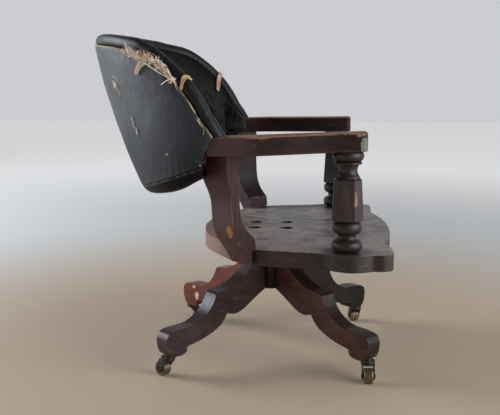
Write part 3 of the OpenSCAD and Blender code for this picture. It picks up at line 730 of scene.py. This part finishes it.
def build_roll():
    na, nt = 360, 36
    a = np.linspace(-99, 99, na)[:, None]
    t = np.linspace(0, 360, nt, endpoint=False)[None, :]
    base = roll_point(a, t)
    lift = 0.7e-3 * vnoise(base, 20.0, 3.0, 3) + 0.35e-3 * vnoise(base, 70.0, 8.0, 2)
    # puckers where the cloth is gathered along both seams
    arc = np.radians(a) * 0.31
    wave = np.sin(2 * math.pi * arc / 0.013 + 3 * vnoise(base, 12.0, 6.0, 1))
    outer = bell(t, 232, 30)
    inner = bell(t, 330, 34)
    lift += 0.45e-3 * wave * (outer + 1.3 * inner)
    # a worn ridge along the top, and a flatter outer face
    lift += 0.7e-3 * bell(t, 78, 13) - 1.1e-3 * bell(t, 165, 42)
    pts = roll_point(a, t, lift)
    # a pale line along the top ridge: partly wear, partly a painted highlight
    worn = 0.9 * bell(t, 76, 9) + 0 * a
    bare = bell(t, 236, 7) * (0.3 + 0.7 * smoothstep(vnoise(base, 13.0, 7.0, 2), -0.3, 0.2))
    ob = loft("rim_roll_cover", pts, m_roll, attrs={"worn": worn, "bare": bare})
    pins = np.clip(bell(t, 232, 16) + bell(t, 300, 45) + 0.25, 0, 1) + 0 * a
    inflate(ob, pins, pressure=2.0, cap=0.0016, frames=12)
    # cut off level with the arms it stands on
    bm = bmesh.new()
    bm.from_mesh(ob.data)
    n = Vector((0, math.sin(ARM_RISE), math.cos(ARM_RISE)))
    p = Vector((0, POST_Y, ARM_UNDER)) + n * (ARM_T + 0.0003)
    whole = bm.verts[:] + bm.edges[:] + bm.faces[:]
    cut = bmesh.ops.bisect_plane(bm, geom=whole, plane_co=p, plane_no=n, clear_inner=True)
    rim = [e for e in cut["geom_cut"] if isinstance(e, bmesh.types.BMEdge)]
    bmesh.ops.contextual_create(bm, geom=rim)
    bmesh.ops.holes_fill(bm, edges=[e for e in bm.edges if e.is_boundary], sides=0)
    bmesh.ops.recalc_face_normals(bm, faces=bm.faces)
    bm.to_mesh(ob.data)
    bm.free()
    smooth(ob.data, 60)
    return ob


roll = build_roll()
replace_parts(roll, "rim_roll")

# ---- buttoned inner pad
BUTTON_ROWS = ((0.430, 24, 0), (0.510, 24, 36), (0.590, 24, 48))
BUTTONS = [(a, z) for z, step, inset in BUTTON_ROWS for a in range(-72 + inset, 73 - inset, step)]
PAD_IN = 0.060
# The pad's wings in plan, in metres in from the tub's widest line and back from its ends, then their levels: height
# and share of the plan.
WING_PLAN = np.array([(58, 30), (52, 20), (49.6, 8), (50.4, 2), (59.6, 0.4), (59.2, -14), (58.8, -28), (61, -33),
                      (65, -34.6), (69, -32.5), (70.5, -26), (70.5, -14), (68, -2), (63.5, 12), (60, 24)]) / 1000
WING_LEVELS = ((0.4756, 0.80), (0.4768, 0.92), (0.482, 0.99), (0.490, 1.0), (0.500, 1.0), (0.507, 0.99),
               (0.5135, 0.94), (0.5168, 0.82), (0.5174, 0.60))
WING_Z, WING_H = 0.4756, 0.0418


def build_pad():
    na, nv = 220, 74
    a = np.linspace(-89.5, 89.5, na)[:, None]
    v = np.linspace(0, 1, nv)[None, :]
    z0, z1 = low_z(a) + 0.003, roll_z(a) - 0.4 * roll_v(a)
    z = z0 + (z1 - z0) * v
    # section: full in the middle, rounded off below, drawn back under the roll above
    low = smoothstep((z - z0) / 0.030, 0, 1)
    high = smoothstep((z1 - z) / 0.042, 0, 1)
    off = 0.032 + (PAD_IN - 0.036) * np.minimum(low ** 0.6, high ** 0.7)
    ends = 1 - 0.30 * np.exp(-((89.5 - np.abs(a)) / 2.2))
    # flattened map in metres for the pleats
    radius = 0.250
    X, Z = np.radians(a) * radius + 0 * z, z
    b = [(math.radians(ba) * radius, bz) for ba, bz in BUTTONS]
    segs = []
    for i, (ax, az) in enumerate(b):
        for bx, bz in b[i + 1:]:
            if 0.02 < abs(az - bz) < 0.1 and abs(ax - bx) < 0.07:
                segs.append((ax, az, bx, bz))
        if az > 0.55:
            segs.append((ax, az, ax * 1.02, az + 0.12))
        if az < 0.45:
            segs.append((ax, az, ax, az - 0.07))
    d_pleat = np.full(X.shape, 1.0)
    for ax, az, bx, bz in segs:
        vx, vz = bx - ax, bz - az
        ll = vx * vx + vz * vz
        s = np.clip(((X - ax) * vx + (Z - az) * vz) / ll, 0, 1)
        d_pleat = np.minimum(d_pleat, np.hypot(X - ax - s * vx, Z - az - s * vz))
    d_button = np.full(X.shape, 1.0)
    for bx, bz in b:
        d_button = np.minimum(d_button, np.hypot(X - bx, Z - bz))
    fade = np.minimum(low, high)
    crown = smoothstep(Z, 0.585, 0.625) * (np.abs(a) < 62)
    puff = -0.0045 * (1 + 1.1 * crown) * np.exp(-d_pleat / (0.0055 + 0.004 * crown))
    puff = puff - 0.0120 * np.exp(-(d_button / 0.011) ** 2)
    fade = np.maximum(fade, crown * smoothstep((z1 - z) / 0.012, 0, 1))
    base = tub(a, off * ends, z)
    puff += 0.7e-3 * vnoise(base, 15.0, 2.0, 3)
    face = tub(a, off * ends + puff * fade, z)
    nb = 5
    back = tub(a, ROLL_C + ROLL_R + 0.0003, z0 + (z1 - z0) * np.linspace(1, 0, nb)[None, :])
    rings = np.concatenate([face, back], axis=1)
    worn = np.zeros(rings.shape[:2])
    worn[:, :nv] = 0.07 * smoothstep(d_pleat, 0.012, 0.035) * fade
    ob = loft("buttoned_pad", rings, m_inner, attrs={"worn": worn, "bare": 0 * worn}, sharp=180)
    pins = np.ones(rings.shape[:2])
    sewn = np.exp(-(d_pleat / 0.0045) ** 2) + np.exp(-(d_button / 0.010) ** 2)
    pins[:, :nv] = np.clip(sewn + (1 - fade) ** 3, 0, 1)
    pins[:2] = pins[-2:] = 1
    inflate(ob, pins, pressure=4.0, cap=0.011, frames=20)
    # front edges that run on past the ends of the arms, against their inner faces
    body = bmesh.new()
    body.from_mesh(ob.data)
    added = []
    for side in (-1, 1):
        pts = np.stack([side * (HALF_W - WING_PLAN[:, 0]), BACK_Y + WING_PLAN[:, 1]], -1)
        mid = pts.mean(axis=0)
        points = []
        for h, f in WING_LEVELS:
            for q in pts:       # the wing is taller towards the rear
                tall = 1 + (smoothstep(q[1], 0.072, 0.122) * 0.037 - 0.009) / WING_H
                points.append(body.verts.new((*(mid + (q - mid) * f), WING_Z + (h - WING_Z) * tall)))
        added += points
        for face in grid_faces(len(WING_LEVELS), len(pts)) + end_caps(len(WING_LEVELS), len(pts)):
            body.faces.new([points[k] for k in face])
    bmesh.ops.recalc_face_normals(body, faces=body.faces)
    # painted light: the wings get a paler tone, to lighten faces that fall in shade
    tint = body.verts.layers.float["worn"]
    for v in added:
        v[tint] = 0.22
    body.to_mesh(ob.data)
    body.free()
    smooth(ob.data)
    subdivide(ob)
    return ob


pad = build_pad()
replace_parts(pad, "inner_pad")


def build_buttons():
    verts, faces = [], []
    prof = [(0.0, 0.0052), (0.0022, 0.0050), (0.0044, 0.0043), (0.0062, 0.0030), (0.0075, 0.0012), (0.0079, -0.0006),
            (0.0072, -0.0018), (0.0, -0.0020)]
    m = 20
    for ba, bz in BUTTONS:
        p = tub(ba, PAD_IN - 0.0115, bz)
        turn = math.radians(ba)
        n = Vector((-math.sin(turn), -math.cos(turn), 0.28 * math.cos(turn))).normalized()
        q = n.to_track_quat("Z", "Y")
        base = len(verts)
        for r, h in prof:
            for j in range(m):
                t = 2 * math.pi * j / m
                wob = 1 + 0.03 * math.sin(3 * t + ba)
                verts.append(Vector(p) + q @ Vector((r * wob * math.cos(t), r * wob * math.sin(t), h)))
        faces += grid_faces(len(prof), m, base)
    mesh = bpy.data.meshes.new("covered_buttons")
    mesh.from_pydata([tuple(c) for c in verts], [], faces)
    outward(mesh, weld=1e-7)
    set_attr(mesh, "worn", [0.3] * len(mesh.vertices))
    smooth(mesh)
    return new_object("covered_buttons", mesh, m_inner, "seat")


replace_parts(build_buttons(), "back_buttons")


# ---- cloth under the tub
def build_under():
    na = 240
    a = np.linspace(-88.8, 88.8, na)[:, None]
    r = fold_r(a) - 0.0003
    b = np.linspace(0, 90, 12)[None, :]
    br = np.radians(b)
    thick = 0.0016

    def fold(tt):
        return tub(a, fold_r(a) - (r - tt) * np.cos(br), low_z(a) + r - (r - tt) * np.sin(br))

    w = np.linspace(0, 1, 14)[None, 1:]
    flat_off = fold_r(a) + (0.058 - fold_r(a)) * w
    sag = 0.0012 * np.sin(math.pi * w)
    bottom = tub(a, flat_off, low_z(a) - sag + 0 * flat_off)
    face = np.concatenate([fold(0), bottom], axis=1)
    inward = smoothstep(np.concatenate([b / 90, 1 + 0 * w], axis=1), 0.25, 0.9)
    slack = 0.0042 * bell(np.abs(a), 66, 17) * inward
    drop = np.clip(0.7e-3 * vnoise(face, 28.0, 3.0, 3) + slack, 0, None)
    face = face + drop[..., None] * np.array([0, 0, -1.0])
    top = tub(a, flat_off, low_z(a) + thick + 0 * flat_off)
    inner = np.concatenate([fold(thick), top], axis=1)
    inner = inner + drop[..., None] * np.array([0, 0, -1.0])
    rings = np.concatenate([face, inner[:, ::-1]], axis=1)
    zero = np.zeros(rings.shape[:2])
    worn = zero.copy()
    worn[:, :2] = 0.5
    return loft("under_cloth", rings, m_under, attrs={"worn": worn, "bare": zero}, sharp=50)


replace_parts(build_under(), "bottom_cloth")


# ---- welt, torn strips and horsehair at the seam
def surface(a, z, lift):
    """A point just outside the tub, or outside the roll where it stands proud."""
    rz, rv = roll_z(a), roll_v(a)
    s = np.clip((z - rz) / rv, -1, 1)
    off = ROLL_C - ROLL_R * np.sqrt(1 - s * s)
    return tub(a, np.where(z > rz - rv, np.minimum(off, 0.0), 0.0) - lift, z)


def build_welt():
    """The cut edge of the cloth, showing its tan backing in places along the seam."""
    na, nt = 560, 10
    a = np.linspace(-91.4, 91.4, na)
    side = np.where(a < 0, 1.0, 0.35)
    ab = np.abs(a)
    rag = np.array([noise.noise(Vector((x * 0.22, 3.0, 0))) for x in a])
    fine = np.array([noise.noise(Vector((x * 0.9, 9.0, 0))) for x in a])
    open_ = 0.80 * bell(ab, 4, 19) + 0.18 * bell(ab, 48, 10)
    open_ += 1.25 * np.exp(-((ab - 84.6) / 1.5) ** 4)
    open_ += 1.0 * np.exp(-((ab - 90.6) / 1.5) ** 4) + 0.35 * bell(ab, 88.0, 0.5)
    wide = side * np.where(ab > 70, 0.0009, 0.0016)
    width = 0.0003 + wide * open_ * np.clip(0.75 + 1.1 * rag + 0.7 * fine, 0.1, 1.6)
    turn = [2 * math.pi * j / nt for j in range(nt)]
    up = np.array([0, 0, 1.0])
    rings = []
    for x, w in zip(a, width):
        zz = float(seam_z(np.array(x))) + 0.0010 * noise.noise(Vector((x * 0.5, 0, 7.0)))
        c = tub(x * flare(zz), 0.0004 - 0.3 * w, zz)
        out = np.array([math.sin(math.radians(x)), math.cos(math.radians(x)), 0])
        ring = [1 + 0.5 * noise.noise(Vector((x * 1.4, j * 1.7, 2.0))) for j in range(nt)]
        rings.append([c + w * ring[j] * (0.6 * math.cos(turn[j]) * out + 1.5 * math.sin(turn[j]) * up)
                      for j in range(nt)])
    rings = np.array(rings)
    tone = 0.55 + 0.5 * vnoise(rings, 30.0, 1.0, 2)
    return loft("seam_lining", rings, m_tan, attrs={"tone": tone})


build_welt()


def strand(a0, z0, a1, z1, bulge, curl, n=9, seed=0, lift0=0.0015, lift1=0.003):
    """A wandering hair from one place on the tub to another."""
    r = random.Random(seed)
    k = [r.uniform(-1, 1) for _ in range(6)]
    pts = []
    for i in range(n):
        t = i / (n - 1)
        s = math.sin(math.pi * t)
        a = a0 + (a1 - a0) * t + curl * (k[0] * math.sin(3.1 * t + k[1] * 3) * s) * 300
        z = z0 + (z1 - z0) * t + curl * (k[2] * math.sin(4.3 * t + k[3] * 3) + k[4] * 0.5 * math.sin(9 * t)) * s
        lift = lift0 + (lift1 - lift0) * t + bulge * s * (0.6 + 0.4 * k[5])
        pts.append(surface(np.array(a), np.array(z), lift))
    return pts


def burst(side, a0, a1, count, seed, spread=0.007, hang=0.0, thick=1.0, matted=0.6):
    """Horsehair pushing out through the opened seam between two angles: springy loose ends over a few matted wads."""
    r = random.Random(seed)
    paths, tones = [], []
    wads = [(a0 + (a1 - a0) * r.random(), r.gauss(0, spread * 0.5), r.uniform(0.1, 0.95))
            for _ in range(max(3, count // 16))]
    for k in range(count):
        ca, cz, tone = r.choice(wads)
        if r.random() > matted:
            ca, cz, tone = a0 + (a1 - a0) * r.random(), r.gauss(0, spread * 0.6), r.uniform(0.3, 1.0)
        a = min(max(ca + r.gauss(0, 0.7), a0), a1)
        z = float(seam_z(np.array(a))) - hang + cz + r.gauss(0.0, spread * 0.2)
        turn, long = r.uniform(-1.0, 1.0) + r.choice((0.0, math.pi)), r.uniform(0.004, 0.017)
        slope = float(seam_z(np.array(a + 1.0)) - seam_z(np.array(a)))
        da = math.degrees(long * math.cos(turn) / 0.33)
        b = a + da
        zb = z + slope * da + long * math.sin(turn)
        rad = thick * r.uniform(0.00022, 0.00066)
        paths.append((strand(side * a, z, side * b, zb, r.uniform(0.0005, 0.0060), r.uniform(0.001, 0.0045), 8,
                             r.random(), r.uniform(0.0002, 0.002), r.uniform(0.0005, 0.0055)), rad, rad * 0.45))
        tones.append(min(max(tone + r.gauss(0, 0.20), 0.0), 1.0))
    return paths, tones


# each burst: side, from and to in degrees, hairs, seed, spread, how far it hangs (less than 0 stands up), thickness
BURST = tuple((-1, *row, 1.15) for row in (
    (54.0, 58.0, 40, 5, 0.0030, -0.0010), (57.0, 63.5, 100, 6, 0.0056, -0.0010),
    (60.5, 67.0, 105, 7, 0.0066, -0.0018), (66.0, 71.5, 70, 9, 0.0048, -0.0060),
    (70.0, 75.0, 95, 11, 0.0058, -0.0070), (74.5, 77.0, 44, 12, 0.0050, -0.0030)))
THIN_TUFTS = ((-1, 87.2, 88.4, 7, 21, 0.0006, 0.0, 0.6), (1, 34.0, 60.0, 120, 25, 0.0028, 0.0, 0.6),
              (1, 83.0, 86.0, 40, 26, 0.0016, 0.0, 0.6))
# each loose strand: angle and height of both ends, and its radius
LOOSE_STRANDS = (
    ((-63.8, 0.6375), (-76.3, 0.6065), 0.0010), ((-65.0, 0.6345), (-76.6, 0.6055), 0.0007),
    ((-58.0, 0.652), (-66.0, 0.640), 0.0007), ((-76.6, 0.609), (-71.6, 0.5975), 0.0010),
    ((-76.4, 0.607), (-75.2, 0.625), 0.0010), ((-77.0, 0.605), (-78.6, 0.6085), 0.0009),
    ((-76.0, 0.614), (-78.4, 0.598), 0.0010), ((-75.6, 0.6105), (-77.8, 0.603), 0.0013),
    ((-76.8, 0.612), (-76.2, 0.599), 0.0013), ((-66.0, 0.648), (-70.0, 0.640), 0.0008),
    ((-71.0, 0.641), (-74.8, 0.630), 0.0008))
# each tuft in a tear: where, hairs, width in degrees, height, tone, radius
TEAR_TUFTS = (
    ((-41.4, 0.598), 44, 1.2, 0.0050, 0.75, 0.00050), ((-43.0, 0.590), 20, 0.9, 0.006, 0.55, 0.00045),
    ((-50.5, 0.530), 14, 0.30, 0.007, 1.0, 0.00055), ((-51.7, 0.512), 14, 0.40, 0.006, 1.0, 0.00055))


def bursts(rows):
    paths, tones = [], []
    for row in rows:
        p, t = burst(*row)
        paths += p
        tones += t
    return paths, tones


def build_hair():
    paths, tones = bursts(BURST)
    # bundled strands hanging clear of the mat
    for k, (p, q, w) in enumerate(LOOSE_STRANDS):
        paths.append((strand(*p, *q, 0.003, 0.0006, 11, 90 + k, 0.002, 0.003), w, w * 0.75))
        tones.append(0.92)
    ob = tubes("horsehair_right", paths, m_hair, tones)
    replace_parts(ob, "seam_stuffing")
    r = random.Random(8)
    paths, tones = [], []
    for k in range(80):          # torn strap
        s = r.uniform(-1, 1)
        p = (-63.0 + 1.6 * s, 0.638 + 0.003 * r.uniform(-1, 1))
        q = (-59.4 + 0.65 * s + r.uniform(-0.3, 0.3), 0.6165 + r.uniform(-0.0025, 0.0025))
        paths.append((strand(*p, *q, 0.003, 0.0004, 8, 200 + k, 0.001, 0.0035), 0.0006, 0.0005))
        tones.append(r.uniform(0.5, 1.0))
    tubes("torn_strap", paths, m_strap, tones)
    # thin tufts at the slits, and a few on the other side
    paths, tones = bursts(THIN_TUFTS)
    tubes("seam_tufts", paths, m_hair, tones)
    # tufts standing in the tears
    paths, tones = [], []
    for (a, z), n, wide, tall, tone, rad in TEAR_TUFTS:
        for k in range(n):
            da, dz = r.gauss(0, wide * 0.7), r.gauss(0, tall * 0.7)
            q = (a + da + r.uniform(-0.8, 0.8) * wide, z + dz + r.uniform(-1.2, 0.8) * tall)
            hair = strand(a + da * 0.6, z + dz, *q, r.uniform(0.0005, 0.003), 0.0008, 7, 400 + k, 0.0, 0.0015)
            paths.append((hair, rad, rad * 0.5))
            tones.append(min(1.0, max(0.0, tone + r.gauss(0, 0.2))))
    tubes("tear_tufts", paths, m_hair, tones)


build_hair()


def build_strip(name, side, a0, a1, t0, t1, wide, seed, taper=0.45, inner=False):
    """A torn strip of tan lining that curls across the roll."""
    n, m = 44, 9
    rings = []
    for i in range(n):
        u = i / (n - 1)
        t = t0 + (t1 - t0) * u
        a = a0 + (a1 - a0) * u + 0.25 * math.sin(7 * u + seed)
        w = wide * (1 - taper + taper * math.sin(math.pi * (0.12 + 0.8 * u))) * (1 + 0.12 * math.sin(13 * u + seed))
        ring = []
        for face in (1, -1):
            for j in range(m):
                s = (j / (m - 1) * 2 - 1) * face
                lift = 0.0022 + 0.0008 * face + 0.0012 * s * s
                x = side * (a + math.degrees(w * s / 0.30))
                q = roll_point(x, t, lift)
                if inner:       # its root lies on the pad
                    k = float(smoothstep(u, 0.0, 0.5))
                    q = q * k + tub(x, PAD_IN - 0.004 + lift, float(roll_z(x)) - 0.036) * (1 - k)
                ring.append(q)
        rings.append(ring)
    rings = np.array(rings)
    tone = (0.15 if inner else 0.45) + 0.5 * vnoise(rings, 60.0, float(seed), 2)
    return loft(name, rings, m_strap if side > 0 else m_tan, attrs={"tone": tone})


build_strip("torn_strip_right", -1, 79.6, 83.6, 214, 84, 0.0029, 1)
build_strip("torn_strip_left", 1, 78.0, 82.6, -50, 92, 0.0056, 4, 0.6, True)

# ---- floor, light and sky
floor_mesh = bpy.data.meshes.new("floor")
R = 9        # half of the floor's width
floor_mesh.from_pydata([(-R, -R, 0), (R, -R, 0), (R, R, 0), (-R, R, 0)], [], [(0, 1, 2, 3)])
floor = place("floor", floor_mesh)
s = Shade("floor", Roughness=0.6, Specular_IOR_Level=0.3, Emission_Color=(0.47, 0.475, 0.485, 1))
# painted shade and light: the floor is darker and warmer round the chair, and glows more farther out
near = s.span(s.spot((0, 0, 0), (1, 1, 1)), 0.5, 1.7)
far = s.span(s.spot((0, 0, 0), (1, 1, 1)), 1.1, 4.0)
s.put(s.bsdf.inputs["Emission Strength"], far)
floor_mesh.materials.append(s.out(s.mix(near, (0.50, 0.39, 0.285), (0.66, 0.655, 0.645))))

world = bpy.data.worlds.new("sky")
world.use_nodes = True
s = Nodes(world.node_tree)
way = s.node("SeparateXYZ", {"Vector": s.node("TexCoord").outputs["Generated"]}).outputs
# a pale room, dimmer overhead and on the side away from the windows
around = s.mix(s.span(way["X"], -0.8, 0.7), (0.26, 0.255, 0.25), (0.60, 0.61, 0.63))
sky = s.mix(s.span(way["Z"], 0.12, 0.75), around, (0.13, 0.135, 0.142))
s.put(s.tree.nodes["Background"].inputs["Color"], sky)
s.put(s.tree.nodes["Background"].inputs["Strength"], 1.0)
bpy.context.scene.world = world


def area(name, where, target, size, power, colour):
    d = bpy.data.lights.new(name, "AREA")
    d.shape = "RECTANGLE"
    d.size, d.size_y = size
    d.energy = power
    d.color = colour
    ob = place(name, d)
    ob.location = where
    ob.rotation_mode = "QUATERNION"
    ob.rotation_quaternion = (Vector(target) - Vector(where)).to_track_quat("-Z", "Y")


area("window_rear", (0.6, 3.1, 1.35), (0, 0, 0.45), (1.6, 1.7), 105, (0.86, 0.93, 1.0))
area("low_rear", (-1.3, 2.4, 0.35), (0, 0, 0.3), (1.2, 0.7), 6, (0.95, 0.95, 1.0))
area("window_front", (-1.5, -2.8, 1.2), (0, 0, 0.35), (2.6, 1.8), 105, (0.93, 0.97, 1.0))
area("top", (0.5, 0.0, 3.0), (0, 0, 0.3), (2.4, 2.4), 7, (0.97, 0.98, 1.0))
